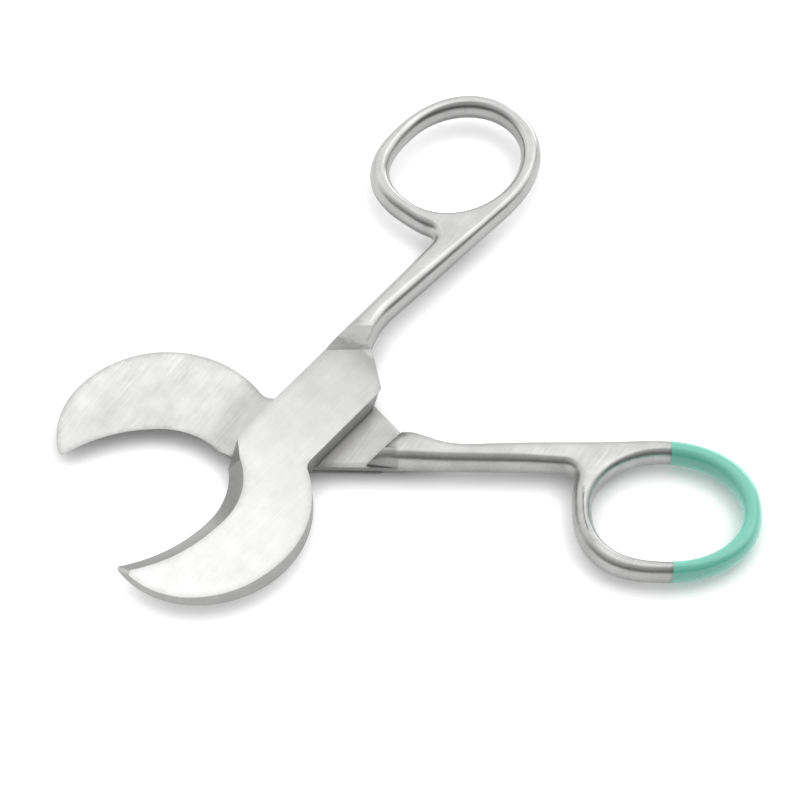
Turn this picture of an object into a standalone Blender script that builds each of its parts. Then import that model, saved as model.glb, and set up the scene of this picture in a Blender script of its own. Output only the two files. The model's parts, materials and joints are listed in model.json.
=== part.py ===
# Umbilical cord scissors, single use, satin steel, 105 mm long.
# Two forged halves cross at a lap joint and turn on one countersunk screw.
# Each half runs in its own frame first: pivot at the origin, +X towards the finger ring,
# the mating face at z = 0 and the metal of the blade and lap above it.
# The lower half is the same forging turned over about X.

import math

import bmesh
import bpy
from mathutils import Matrix, Vector

# Lap and block around the joint, in metres
LAP_THICKNESS = 0.00315
LAP_GAP = 0.00008
BLOCK_EDGE_SIDE = 0.0066
BLOCK_BACK_SIDE = 0.0057
EDGE_SIDE_LEAN = 0.38
BACK_SIDE_LEAN = 0.08

# Closing stop: the end of each block meets the shoulder of the other half
END_DISTANCE = 0.0111
END_NORMAL_ANGLE = math.radians(-39.5)
END_LEAN = 0.37
SHOULDER_NORMAL_ANGLE = math.radians(41.5)
STOP_GAP = 0.0001
END_CORNER_RADIUS = 0.0010
HUMP_DEPTH = 0.0029
HUMP_PEAK = 0.0020
HUMP_RADIUS = 0.00125
HUMP_END = 0.0100

# Crescent blade
EDGE_LOW_X = -0.0212
EDGE_LOW_Y = 0.0002
EDGE_TIP_RADIUS = 0.0240
EDGE_HEEL_RADIUS = 0.0115
EDGE_TIP_REACH = 0.0147
EDGE_HEEL_REACH = 0.0086
BEVEL_DEPTH = 0.0032
BEVEL_TIP_RADIUS = 0.0225
BACK_CENTRE_X = -0.0206
BACK_CENTRE_Y = 0.00285
BACK_RADIUS = 0.0169
BACK_TIP_RADIUS = 0.0138
BACK_TIP_TURN = math.radians(215)
BACK_DRAFT = 0.0004
NECK_FILLET = 0.0022
HEEL_CORNER_X = -0.0074
HEEL_CORNER_RADIUS = 0.0022
BLADE_TIP_THICKNESS = 0.0014
TAPER_START_X = -0.0240
HOLLOW_DEPTH = 0.00032

# Shank and finger ring
SHANK_EDGE_SIDE = 0.00665
SHANK_ROOT_INSET = 0.0006
SHANK_ROOT_REACH = 0.0032
SHANK_KNEE_X = 0.0220
SHANK_KNEE_Y = 0.0030
SHANK_KNEE_RADIUS = 0.0140
SHANK_ROOT_SLOPE = 0.36
SHANK_HALF_HEIGHT = 0.00242
RING_HALF_HEIGHT = 0.00205
HEIGHT_CHANGE_START_X = 0.0300
HEIGHT_CHANGE_END_X = 0.0480
LOWER_SHANK_RISE = -0.0002
LOWER_RING_RISE = 0.0003
UPPER_SHANK_RISE = 0.0006
UPPER_RING_RISE = 0.0010
HANDLE_ROUND = 0.00125
RING_CENTRE_X = 0.0527
RING_CENTRE_Y = 0.0134
RING_FRONT_REACH = 0.0127
RING_END_REACH = 0.0154
RING_SIDE_REACH = 0.0120
RING_FRONT_SQUARENESS = 2.5
RING_END_SQUARENESS = 2.2
HOLE_FRONT_SQUARENESS = 2.55
RING_FRONT_WIDTH = 0.0029
RING_END_WIDTH = 0.0028
RING_BACK_SIDE_WIDTH = 0.00305
RING_EDGE_SIDE_WIDTH = 0.00265
NOTCH_RADIUS = 0.0017
SCALLOP_RADIUS = 0.0080
SCALLOP_START = 0.0124
SCALLOP_MIDDLE = 0.0154

# Joint screw, its head in the underside of the lower half
SCREW_DIAMETER = 0.0036
SCREW_HEAD_DIAMETER = 0.0058
SCREW_HEAD_RIM = 0.0003
SCREW_POINT_CHAMFER = 0.00045
SCREW_CLEARANCE = 0.00005
SCREW_SEAT_DEPTH = 0.0024
SCREW_TIP_GAP = 0.0001
SLOT_WIDTH = 0.0009
SLOT_DEPTH = 0.0007

# Colour coat on the far half of the lower ring
COAT_START_SHIFT = 0.0018
COAT_THICKNESS = 0.00034
COAT_PROUD = 0.00010
COAT_GAP = 0.00004
COAT_CUT_MARGIN = 0.0008

# Photographed opening, measured between the two block axes
OPENING_ANGLE = math.radians(51)

ARC_STEPS = 18
BLADE_STEPS = 26
HOLLOW_STEPS = 6
RING_STEPS = 34
PROFILE_STEPS = 6
BORE_STEPS = 64
SHANK_STEPS = 30
GUIDE_REACH = 0.0300


def polar(centre, radius, angle):
    return Vector((centre[0] + radius * math.cos(angle), centre[1] + radius * math.sin(angle)))


def arc(centre, radius, start, end, steps):
    return [polar(centre, radius, start + (end - start) * i / steps) for i in range(steps + 1)]


def span(start, end, steps):
    return [start.lerp(end, i / steps) for i in range(1, steps)]


def meet(angle_a, distance_a, angle_b, distance_b):
    # Crossing point of two lines, each given by its normal's angle and its distance from the pivot
    ax, ay = math.cos(angle_a), math.sin(angle_a)
    bx, by = math.cos(angle_b), math.sin(angle_b)
    scale = ax * by - ay * bx
    return Vector(((distance_a * by - distance_b * ay) / scale, (ax * distance_b - bx * distance_a) / scale))


def fillet(before, corner, after, radius, steps):
    # Round a corner with an arc tangent to both of its sides
    to_before = (before - corner).normalized()
    to_after = (after - corner).normalized()
    half = to_before.angle(to_after) / 2
    reach = radius / math.tan(half)
    middle = (to_before + to_after).normalized()
    centre = corner + middle * (radius / math.sin(half))
    first = corner + to_before * reach
    last = corner + to_after * reach
    start = math.atan2(first.y - centre.y, first.x - centre.x)
    turn = (last - centre).angle_signed(first - centre)
    return arc(centre, radius, start, start + turn, steps)


def edge_chain(low_y, tip_radius, heel_radius, tip_reach, heel_reach):
    # Concave side of the crescent, from the tip to the heel, two arcs tangent at its lowest point
    tip_angle = math.asin(tip_reach / tip_radius)
    heel_angle = math.asin(heel_reach / heel_radius)
    down = math.radians(-90)
    tip_side = arc((EDGE_LOW_X, low_y + tip_radius), tip_radius, down - tip_angle, down, BLADE_STEPS // 2)
    heel_side = arc((EDGE_LOW_X, low_y + heel_radius), heel_radius, down, down + heel_angle, BLADE_STEPS // 2)
    return tip_side[:-1] + heel_side


def back_chain(tip, draft, side):
    # Convex side of the crescent, from the tip to its fillet with the block's straight side
    centre = Vector((BACK_CENTRE_X, BACK_CENTRE_Y))
    radius = BACK_RADIUS - draft
    turn = Vector((math.cos(BACK_TIP_TURN), math.sin(BACK_TIP_TURN)))
    tip_centre = centre + turn * (BACK_RADIUS - BACK_TIP_RADIUS)
    tip_radius = BACK_TIP_RADIUS - draft
    tip_lift = math.asin((tip.y - tip_centre.y) / tip_radius)
    tip_steps = BLADE_STEPS // 3
    tip_arc = arc(tip_centre, tip_radius, math.pi - tip_lift, BACK_TIP_TURN, tip_steps)
    # The fillet lies outside the back arc and below the block's side
    fillet_y = -side - NECK_FILLET
    reach = radius + NECK_FILLET
    fillet_x = centre.x + math.sqrt(reach ** 2 - (fillet_y - centre.y) ** 2)
    fillet_angle = math.atan2(fillet_y - centre.y, fillet_x - centre.x)
    main_steps = BLADE_STEPS - tip_steps
    main_arc = arc(centre, radius, BACK_TIP_TURN, fillet_angle + 2 * math.pi, main_steps)
    neck = arc((fillet_x, fillet_y), NECK_FILLET, fillet_angle + math.pi, math.radians(90), ARC_STEPS // 3)
    return tip_arc[:-1] + main_arc, neck[1:]


def blade_height(x):
    fade = max(0.0, TAPER_START_X - x) / (TAPER_START_X + BACK_RADIUS - BACK_CENTRE_X)
    return LAP_THICKNESS - (LAP_THICKNESS - BLADE_TIP_THICKNESS) * fade


def shank_root_line():
    # Side of the shank next to the block's end, as its outward normal's angle and distance
    angle = math.atan(SHANK_ROOT_SLOPE) - math.radians(90)
    return angle, SHANK_KNEE_X * math.cos(angle) + SHANK_KNEE_Y * math.sin(angle)


def plate_chains(outer):
    # The cutting edge, the back and the block's outline on the mating face or on the outer face
    rise = LAP_THICKNESS if outer else 0.0
    low_y = EDGE_LOW_Y - (BEVEL_DEPTH if outer else 0.0)
    tip_radius = BEVEL_TIP_RADIUS if outer else EDGE_TIP_RADIUS
    edge_side = BLOCK_EDGE_SIDE - EDGE_SIDE_LEAN * rise
    back_side = BLOCK_BACK_SIDE - BACK_SIDE_LEAN * rise
    heel_reach = EDGE_HEEL_REACH + (EDGE_SIDE_LEAN * rise if outer else 0.0)
    edge = edge_chain(low_y, tip_radius, EDGE_HEEL_RADIUS, EDGE_TIP_REACH, heel_reach)
    back, neck = back_chain(edge[0], BACK_DRAFT if outer else 0.0, back_side)
    back[0] = edge[0].copy()
    root = Vector((SCALLOP_MIDDLE, edge_side))
    heel = edge[-1]
    corner = Vector((HEEL_CORNER_X - EDGE_SIDE_LEAN * rise, edge_side))
    heel_round = fillet(heel, corner, root, HEEL_CORNER_RADIUS, ARC_STEPS // 3)
    end_distance = END_DISTANCE + END_LEAN * rise
    corner = meet(END_NORMAL_ANGLE, end_distance, math.radians(-90), back_side)
    line_angle, line_distance = shank_root_line()
    end_top = meet(END_NORMAL_ANGLE, end_distance, line_angle, line_distance - HANDLE_ROUND / 2)
    end_round = fillet(end_top, corner, neck[-1], END_CORNER_RADIUS, ARC_STEPS // 3)
    block = heel_round + [root, end_top] + end_round
    return edge, back, neck, block


def plate_mesh():
    # Blade and lap in one plate: hollow mating face, bevelled edge, tapered outer face
    edge, back, neck, block = plate_chains(False)
    edge_o, back_o, neck_o, block_o = plate_chains(True)
    floor = LAP_GAP / 2
    bm = bmesh.new()

    def ring(points, height):
        return [bm.verts.new((p.x, p.y, height)) for p in points]

    inner_edge = ring(edge, floor)
    inner_back = [inner_edge[0]] + ring(back[1:], floor)
    inner_block = ring(block, floor)
    inner_neck = ring(neck[::-1], floor)
    outer_edge = ring(edge_o, LAP_THICKNESS)
    outer_back = [outer_edge[0]] + ring(back_o[1:], LAP_THICKNESS)
    outer_block = ring(block_o, LAP_THICKNESS)
    outer_neck = ring(neck_o[::-1], LAP_THICKNESS)

    # Hollow grind: rows from the edge to the back, deepest in the middle, fading at tip and heel
    rows = []
    for i in range(1, BLADE_STEPS + 1):
        along = i / BLADE_STEPS
        fade = min(1.0, 4 * (1 - along)) * min(1.0, 4 * along)
        row = [inner_edge[i]]
        for k in range(1, HOLLOW_STEPS):
            across = k / HOLLOW_STEPS
            p = edge[i].lerp(back[i], across)
            lift = HOLLOW_DEPTH * fade * math.sin(math.pi * across)
            row.append(bm.verts.new((p.x, p.y, floor + lift)))
        row.append(inner_back[i])
        rows.append(row)
    for k in range(HOLLOW_STEPS):
        bm.faces.new((inner_edge[0], rows[0][k], rows[0][k + 1]))
    for a, b in zip(rows, rows[1:]):
        for k in range(HOLLOW_STEPS):
            bm.faces.new((a[k], b[k], b[k + 1], a[k + 1]))
    bm.faces.new(inner_block + inner_neck + rows[-1][::-1])

    inner = inner_edge + inner_block + inner_neck + inner_back[:0:-1]
    outer = outer_edge + outer_block + outer_neck + outer_back[:0:-1]
    bm.faces.new(outer)
    for i in range(len(inner)):
        j = (i + 1) % len(inner)
        bm.faces.new((inner[i], outer[i], outer[j], inner[j]))
    bmesh.ops.recalc_face_normals(bm, faces=bm.faces)

    # The blade's outer face falls away evenly towards the tip
    cut = bm.faces[:] + bm.edges[:] + bm.verts[:]
    bmesh.ops.bisect_plane(bm, geom=cut, dist=1e-7, plane_co=(TAPER_START_X, 0, 0), plane_no=(1, 0, 0))
    for vert in bm.verts:
        share = (vert.co.z - floor) / (LAP_THICKNESS - floor)
        if share > 0.5 and vert.co.x < TAPER_START_X:
            vert.co.z = floor + (blade_height(vert.co.x) - floor) * share
    return finish(bm, "plate")


def ease(along):
    along = min(1.0, max(0.0, along))
    return along * along * (3 - 2 * along)


def along_handle(x, shank_value, ring_value):
    share = ease((x - HEIGHT_CHANGE_START_X) / (HEIGHT_CHANGE_END_X - HEIGHT_CHANGE_START_X))
    return shank_value + (ring_value - shank_value) * share


def hump_depth(p, depth):
    # Underside of the handle below the mating face: it swells to a hump behind the shoulder
    c, s = math.cos(SHOULDER_NORMAL_ANGLE), math.sin(SHOULDER_NORMAL_ANGLE)
    back = p.x * c + p.y * s - END_DISTANCE
    if back < HUMP_PEAK:
        return HUMP_DEPTH - (HUMP_PEAK - max(back, 0.0)) ** 2 / (2 * HUMP_RADIUS)
    return HUMP_DEPTH + (depth - HUMP_DEPTH) * ease((back - HUMP_PEAK) / (HUMP_END - HUMP_PEAK))


def ring_outer(angle):
    # Outer outline of the ring, squarer than an ellipse, most of all towards the shank
    c, s = math.cos(angle), math.sin(angle)
    power = 2 / (RING_END_SQUARENESS if c >= 0 else RING_FRONT_SQUARENESS)
    reach = RING_END_REACH if c >= 0 else -RING_FRONT_REACH
    x = RING_CENTRE_X + reach * abs(c) ** power
    y = RING_CENTRE_Y + math.copysign(RING_SIDE_REACH * abs(s) ** power, s)
    return Vector((x, y))


def notch_start():
    # Where the notch fillet leaves the ring: its arc also touches the shank's straight side
    low, high = math.radians(150), math.radians(240)
    for _ in range(50):
        angle = (low + high) / 2
        point = ring_outer(angle)
        ahead = ring_outer(angle + 1e-4) - ring_outer(angle - 1e-4)
        normal = Vector((ahead.y, -ahead.x)).normalized()
        centre = point + normal * NOTCH_RADIUS
        if centre.y > SHANK_EDGE_SIDE + NOTCH_RADIUS:
            low = angle
        else:
            high = angle
    return angle, centre


def level_at(line, x):
    # Height in plan of a line that runs towards +X
    for a, b in zip(line, line[1:]):
        if a.x <= x <= b.x:
            return a.y + (b.y - a.y) * (x - a.x) / (b.x - a.x)
    return line[-1].y


def handle_outline():
    # Shank and ring in plan, anticlockwise from the root, the shank's two sides in matching steps
    root_x = END_DISTANCE - SHANK_ROOT_REACH
    root_low = Vector((root_x, SHANK_KNEE_Y - SHANK_ROOT_SLOPE * (SHANK_KNEE_X - root_x)))
    root_high = Vector((root_x, SHANK_EDGE_SIDE - SHANK_ROOT_INSET))
    knee = Vector((SHANK_KNEE_X, SHANK_KNEE_Y))
    # Tangent from the knee to the ring's underside
    u = (knee.x - RING_CENTRE_X) / RING_FRONT_REACH
    v = (knee.y - RING_CENTRE_Y) / RING_SIDE_REACH
    touch_angle = math.atan2(v, u) + math.acos(1 / math.hypot(u, v))
    touch = ring_outer(touch_angle)
    back_line = [root_low] + fillet(root_low, knee, touch, SHANK_KNEE_RADIUS, ARC_STEPS) + [touch]
    notch_angle, centre = notch_start()
    shank_end = Vector((centre.x, SHANK_EDGE_SIDE))
    full_width = Vector((END_DISTANCE + SHANK_ROOT_REACH, SHANK_EDGE_SIDE))
    edge_line = [root_high, full_width, shank_end]
    stations = [root_x + (shank_end.x - root_x) * (i / SHANK_STEPS) ** 1.4 for i in range(SHANK_STEPS + 1)]
    back_side = [Vector((x, level_at(back_line, x))) for x in stations]
    edge_side = [Vector((x, level_at(edge_line, x))) for x in stations]
    points = back_side + span(back_side[-1], touch, 4)
    sweep = notch_angle - touch_angle
    points += [ring_outer(touch_angle + sweep * i / (2 * RING_STEPS)) for i in range(2 * RING_STEPS + 1)]
    leave = math.atan2(points[-1].y - centre.y, points[-1].x - centre.x)
    points += arc(centre, NOTCH_RADIUS, leave, math.radians(-90), ARC_STEPS // 3)[1:-1]
    return points + edge_side[::-1]


def hole_outline():
    # Finger opening, an ellipse that leaves the ring its four widths, squarer beside the notch
    front = RING_CENTRE_X - RING_FRONT_REACH + RING_FRONT_WIDTH
    end = RING_CENTRE_X + RING_END_REACH - RING_END_WIDTH
    low = RING_CENTRE_Y - RING_SIDE_REACH + RING_BACK_SIDE_WIDTH
    high = RING_CENTRE_Y + RING_SIDE_REACH - RING_EDGE_SIDE_WIDTH
    centre = Vector(((front + end) / 2, (low + high) / 2))
    count = 2 * RING_STEPS
    points = []
    for i in range(count):
        c, s = math.cos(-2 * math.pi * i / count), math.sin(-2 * math.pi * i / count)
        power = 2 / (HOLE_FRONT_SQUARENESS if c < 0 < s else 2)
        x = (end - front) / 2 * math.copysign(abs(c) ** power, c)
        y = (high - low) / 2 * math.copysign(abs(s) ** power, s)
        points.append(centre + Vector((x, y)))
    return points


def inset(points, distance):
    # Move each point of a loop to its left side, along the mitre of its two edges
    moved = []
    for i, point in enumerate(points):
        before = (point - points[i - 1]).normalized()
        after = (points[(i + 1) % len(points)] - point).normalized()
        left = Vector((-before.y - after.y, before.x + after.x)).normalized()
        share = max(0.5, left.dot(Vector((-before.y, before.x))))
        moved.append(point + left * (distance / share))
    return moved


def handle_mesh(rise, grow):
    # Flat-forged handle with fully rounded sides, its middle raised by rise, swollen evenly by grow
    bm = bmesh.new()
    caps = []
    outer = handle_outline()
    for outline in (outer, hole_outline()):
        loops = []
        for k in range(PROFILE_STEPS + 1):
            turn = math.pi * k / PROFILE_STEPS - math.pi / 2
            loop = inset(outline, HANDLE_ROUND - (HANDLE_ROUND + grow) * math.cos(turn))
            if outline is outer:
                # The root end stays square
                loop[0].x = loop[-1].x = outer[0].x
            verts = []
            for p, base in zip(loop, outline):
                middle = along_handle(base.x, *rise)
                half = along_handle(base.x, SHANK_HALF_HEIGHT, RING_HALF_HEIGHT)
                if turn < 0:
                    half = middle + hump_depth(base, half - middle)
                verts.append(bm.verts.new((p.x, p.y, middle + (half + grow) * math.sin(turn))))
            loops.append(verts)
        for a, b in zip(loops, loops[1:]):
            for i in range(len(a)):
                j = (i + 1) % len(a)
                bm.faces.new((a[i], a[j], b[j], b[i]))
        caps.append((loops[0], loops[-1]))
    for level in (0, 1):
        close_flat(bm, caps[0][level], caps[1][level])
    bmesh.ops.recalc_face_normals(bm, faces=bm.faces)
    return bm


def close_flat(bm, outer, hole):
    # Rungs across the shank, then one fill round the finger opening
    for i in range(SHANK_STEPS):
        bm.faces.new((outer[i], outer[i + 1], outer[-2 - i], outer[-1 - i]))
    rest = outer[SHANK_STEPS:len(outer) - SHANK_STEPS]
    edges = []
    for loop in (rest, hole):
        for i in range(len(loop)):
            edges.append(bm.edges.get((loop[i], loop[(i + 1) % len(loop)])))
    bmesh.ops.triangle_fill(bm, use_beauty=True, use_dissolve=False, edges=edges)


def keep_side(bm, point, normal):
    # Cut a closed mesh with a plane, keep the side the normal points to, and close it
    cut = bm.faces[:] + bm.edges[:] + bm.verts[:]
    bmesh.ops.bisect_plane(bm, geom=cut, dist=1e-7, plane_co=point, plane_no=normal, clear_inner=True)
    open_edges = [e for e in bm.edges if e.is_boundary]
    bmesh.ops.triangle_fill(bm, use_beauty=True, use_dissolve=False, edges=open_edges)
    bmesh.ops.recalc_face_normals(bm, faces=bm.faces)


def shank_mesh(rise):
    # The handle ends in the shoulder, a leaning face that the other block's end comes to rest on
    bm = handle_mesh(rise, 0.0)
    c, s = math.cos(SHOULDER_NORMAL_ANGLE), math.sin(SHOULDER_NORMAL_ANGLE)
    distance = END_DISTANCE + STOP_GAP
    keep_side(bm, (distance * c, distance * s, 0), Vector((c, s, END_LEAN)).normalized())
    return finish(bm, "handle")


def cylinder_mesh(radius, start, end):
    bm = bmesh.new()
    middle = Matrix.Translation((0, 0, (start + end) / 2))
    bmesh.ops.create_cone(
        bm, cap_ends=True, segments=BORE_STEPS, radius1=radius, radius2=radius, depth=end - start, matrix=middle
    )
    return finish(bm, "cylinder")


def turned_mesh(profile):
    # Solid of revolution about Z from (radius, z) pairs, flat at both ends
    bm = bmesh.new()
    rings = []
    for radius, z in profile:
        ring = []
        for i in range(BORE_STEPS):
            angle = 2 * math.pi * i / BORE_STEPS
            ring.append(bm.verts.new((radius * math.cos(angle), radius * math.sin(angle), z)))
        rings.append(ring)
    bm.faces.new(rings[0])
    bm.faces.new(rings[-1])
    for a, b in zip(rings, rings[1:]):
        for i in range(BORE_STEPS):
            j = (i + 1) % BORE_STEPS
            bm.faces.new((a[i], b[i], b[j], a[j]))
    bmesh.ops.recalc_face_normals(bm, faces=bm.faces)
    return finish(bm, "turned")


def box_mesh(size, centre):
    bm = bmesh.new()
    bmesh.ops.create_cube(bm, size=1.0)
    bmesh.ops.scale(bm, vec=size, verts=bm.verts)
    bmesh.ops.translate(bm, vec=centre, verts=bm.verts)
    return finish(bm, "box")


def finish(bm, name):
    mesh = bpy.data.meshes.new(name)
    bm.to_mesh(mesh)
    bm.free()
    return mesh


def add(name, mesh, surface=None, parent=None):
    obj = bpy.data.objects.new(name, mesh)
    bpy.context.collection.objects.link(obj)
    obj.parent = parent
    if surface:
        mesh.materials.append(surface)
        mesh.shade_smooth()
        mesh.set_sharp_from_angle(angle=math.radians(32))
    return obj


def guide(name, mesh, parent):
    obj = add(name, mesh, parent=parent)
    obj.hide_render = True
    obj.display_type = 'WIRE'
    return obj


def boolean(target, tool, operation):
    modifier = target.modifiers.new(tool.name, 'BOOLEAN')
    modifier.operation = operation
    modifier.solver = 'EXACT'
    modifier.object = tool


def material(name, colour, metallic, roughness):
    mat = bpy.data.materials.new(name)
    mat.use_nodes = True
    shader = mat.node_tree.nodes['Principled BSDF']
    shader.inputs['Base Color'].default_value = (*colour, 1.0)
    shader.inputs['Metallic'].default_value = metallic
    shader.inputs['Roughness'].default_value = roughness
    return mat


def countersink():
    # Clearance hole and cone for the screw, on the outer side of the lap
    hole = SCREW_DIAMETER / 2 + SCREW_CLEARANCE
    head = SCREW_HEAD_DIAMETER / 2 + SCREW_CLEARANCE
    rim = LAP_THICKNESS - SCREW_HEAD_RIM - SCREW_CLEARANCE
    past = LAP_THICKNESS * 2
    return turned_mesh([
        (hole, -past),
        (hole, rim - (head - hole)),
        (head, rim),
        (head, past),
    ])


def screw_mesh():
    # Countersunk screw, head down, its tip blind in the upper half
    body = SCREW_DIAMETER / 2
    head = SCREW_HEAD_DIAMETER / 2
    rim = LAP_THICKNESS - SCREW_HEAD_RIM
    top = SCREW_SEAT_DEPTH - SCREW_TIP_GAP
    return turned_mesh([
        (head, -LAP_THICKNESS),
        (head, -rim),
        (body, -rim + (head - body)),
        (body, top - SCREW_POINT_CHAMFER),
        (body - SCREW_POINT_CHAMFER, top),
    ])


def scallop(parent):
    # Dish that parts the flat block from the rounded shank on the outer side
    half_width = SCALLOP_MIDDLE - SCALLOP_START
    height = LAP_THICKNESS + math.sqrt(SCALLOP_RADIUS ** 2 - half_width ** 2)
    mesh = cylinder_mesh(SCALLOP_RADIUS, -GUIDE_REACH / 2, GUIDE_REACH / 2)
    tool = guide(parent.name + "_scallop_cut", mesh, parent)
    angle = SHOULDER_NORMAL_ANGLE
    tool.location = (SCALLOP_MIDDLE * math.cos(angle), SCALLOP_MIDDLE * math.sin(angle), height)
    tool.rotation_euler = (math.radians(90), 0, angle)
    return tool


def build_half(name, rise, steel, parent):
    half = add(name, plate_mesh(), steel, parent)
    handle = guide(name + "_handle_form", shank_mesh(rise), half)
    boolean(half, handle, 'UNION')
    boolean(half, scallop(half), 'DIFFERENCE')
    return half


def coat_sleeve(grow_out, grow_in, name, parent):
    # Far part of the lower ring's skin, between two swellings of the handle
    rise = (LOWER_SHANK_RISE, LOWER_RING_RISE)
    bm = handle_mesh(rise, grow_out)
    keep_side(bm, (RING_CENTRE_X + COAT_START_SHIFT, 0, 0), Vector((1, 0, 0)))
    outer = add(name, finish(bm, name), parent=parent)
    inner = guide(name + "_inside_cut", finish(handle_mesh(rise, grow_in), "inside"), outer)
    boolean(outer, inner, 'DIFFERENCE')
    return outer


def build():
    for obj in list(bpy.data.objects):
        bpy.data.objects.remove(obj, do_unlink=True)

    steel = material("satin_steel", (0.60, 0.595, 0.585), 1.0, 0.34)
    bright_steel = material("screw_steel", (0.55, 0.55, 0.55), 1.0, 0.28)
    mint = material("mint_coat", (0.19, 0.66, 0.50), 0.0, 0.22)

    stand = bpy.data.objects.new("stand", None)
    bpy.context.collection.objects.link(stand)

    lower = build_half("lower_half", (LOWER_SHANK_RISE, LOWER_RING_RISE), steel, stand)
    lower.rotation_euler = (math.pi, 0, 0)
    boolean(lower, guide("countersink_cut", countersink(), lower), 'DIFFERENCE')

    upper = build_half("upper_half", (UPPER_SHANK_RISE, UPPER_RING_RISE), steel, stand)
    upper.rotation_euler = (0, 0, OPENING_ANGLE)
    seat = cylinder_mesh(SCREW_DIAMETER / 2 + SCREW_CLEARANCE, -LAP_THICKNESS, SCREW_SEAT_DEPTH)
    boolean(upper, guide("screw_seat_cut", seat, upper), 'DIFFERENCE')

    screw = add("joint_screw", screw_mesh(), bright_steel, stand)
    screw.rotation_euler = (0, 0, OPENING_ANGLE)
    slot = box_mesh((SCREW_HEAD_DIAMETER * 2, SLOT_WIDTH, SLOT_DEPTH * 2), (0, 0, -LAP_THICKNESS))
    boolean(screw, guide("slot_cut", slot, screw), 'DIFFERENCE')

    under = COAT_PROUD - COAT_THICKNESS
    neck = coat_sleeve(COAT_CUT_MARGIN, under - COAT_GAP, "coat_neck_cut", lower)
    neck.hide_render = True
    neck.display_type = 'WIRE'
    boolean(lower, neck, 'DIFFERENCE')

    coat = coat_sleeve(COAT_PROUD, under, "ring_colour_coat", stand)
    coat.rotation_euler = (math.pi, 0, 0)
    coat.data.materials.append(mint)
    coat.data.shade_smooth()

    # Stand the scissors on z = 0 with the middle of their box over the origin
    bpy.context.view_layer.update()
    graph = bpy.context.evaluated_depsgraph_get()
    corners = []
    for obj in (lower, upper, screw, coat):
        evaluated = obj.evaluated_get(graph)
        corners += [evaluated.matrix_world @ v.co for v in evaluated.data.vertices]
    low = [min(c[i] for c in corners) for i in range(3)]
    high = [max(c[i] for c in corners) for i in range(3)]
    stand.location = (-(low[0] + high[0]) / 2, -(low[1] + high[1]) / 2, -low[2])


build()
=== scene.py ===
# Looks of the umbilical cord scissors: finer forgings, brushed steel, the mint coat and the studio
import json
import math

import bmesh
import bpy
import numpy as np
from mathutils import Matrix, Vector
from mathutils.geometry import delaunay_2d_cdt
from mathutils.kdtree import KDTree


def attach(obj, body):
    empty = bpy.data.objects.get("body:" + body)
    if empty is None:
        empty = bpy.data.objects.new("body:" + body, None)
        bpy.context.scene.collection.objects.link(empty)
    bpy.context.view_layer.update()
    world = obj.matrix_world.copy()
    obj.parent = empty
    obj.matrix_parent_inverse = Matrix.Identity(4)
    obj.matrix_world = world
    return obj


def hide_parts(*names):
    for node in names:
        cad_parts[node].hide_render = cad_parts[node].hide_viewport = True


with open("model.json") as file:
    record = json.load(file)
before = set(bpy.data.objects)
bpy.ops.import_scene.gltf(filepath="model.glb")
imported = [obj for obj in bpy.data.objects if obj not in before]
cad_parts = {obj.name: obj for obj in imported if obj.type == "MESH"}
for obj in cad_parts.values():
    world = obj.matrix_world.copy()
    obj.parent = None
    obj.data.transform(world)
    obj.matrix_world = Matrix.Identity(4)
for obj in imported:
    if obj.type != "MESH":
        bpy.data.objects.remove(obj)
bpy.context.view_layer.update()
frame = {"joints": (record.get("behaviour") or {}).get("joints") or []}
pivot = Vector(frame["joints"][0]["pos_m"])
print("frame loaded, pivot at", [round(v * 1000, 2) for v in pivot], "mm")

# Sizes of the forging that both halves share, in millimetres.
# Pivot at 0, +X to the finger ring, mating face at z = 0, metal of the lap above it.
lap = {
    "thickness": 3.15, "gap": 0.08,
    "edgeSide": 6.6, "backSide": 5.7, "edgeSideLean": 0.38, "backSideLean": 0.08,
    "endDistance": 11.1, "endAngle": math.radians(-39.5), "endLean": 0.37, "endCorner": 1.0,
    "rootX": 15.4, "endTuck": 0.625, "shoulderAngle": math.radians(41.5), "stopGap": 0.1,
    "rimRound": 0.2, "rimSteps": 3, "grid": 0.7,
}
blade = {
    "lowX": -21.2, "lowY": 0.2, "tipRadius": 24.0, "heelRadius": 11.5,
    "tipReach": 14.7, "heelReach": 8.6, "heelCornerX": -7.4, "heelCorner": 2.6,
    "bevelDepth": 3.2, "bevelTipRadius": 22.5,
    "backX": -20.6, "backY": 2.85, "backRadius": 16.9, "backTipRadius": 13.8,
    "backTipTurn": math.radians(215), "backDraft": 0.4, "neckFillet": 2.2,
    "tipThickness": 1.25, "taperStart": -23.0, "taperEase": 0.08,
    "formStart": -35.0, "formLength": 27.0, "formSlant": 0.45,  # where hollow and crown lie
    "crown": 0.025, "crownFade": 3, "hollow": 0.32, "hollowFade": 4, "steps": 96,
}
handle = {
    "edgeSide": 6.65, "rootInset": 0.6, "rootReach": 3.2, "rootSlope": 0.36,
    "kneeX": 22.0, "kneeY": 3.0, "kneeRadius": 14.0, "changeStart": 30.0, "changeEnd": 48.0,
    "shankHalf": 2.42, "ringHalf": 2.05, "shankRound": 1.65, "ringRound": 1.28,
    "ringX": 52.7, "ringY": 13.4, "frontReach": 12.7, "endReach": 15.4, "sideReach": 12.0,
    "frontSquare": 2.5, "endSquare": 2.2, "holeSquare": 2.55, "holePlain": 2, "notch": 1.7,
    "frontWidth": 2.9, "endWidth": 2.8, "backWidth": 3.05, "edgeWidth": 2.65,
    "humpDepth": 2.9, "humpPeak": 2.8, "humpRadius": 2.45, "humpEnd": 11.0,
    "ringSteps": 110, "shankSteps": 70, "touchSteps": 8, "profileSteps": 20,
    "rootCrowding": 1.2, "grid": 0.8,
}
arcSteps = 12
roundSteps = 128  # of a full turn
onePlace = 1e-6  # millimetres within which two points are one
onePlane = 1e-5
borderClear = 0.55  # of a grid's spacing, kept free along its border
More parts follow.
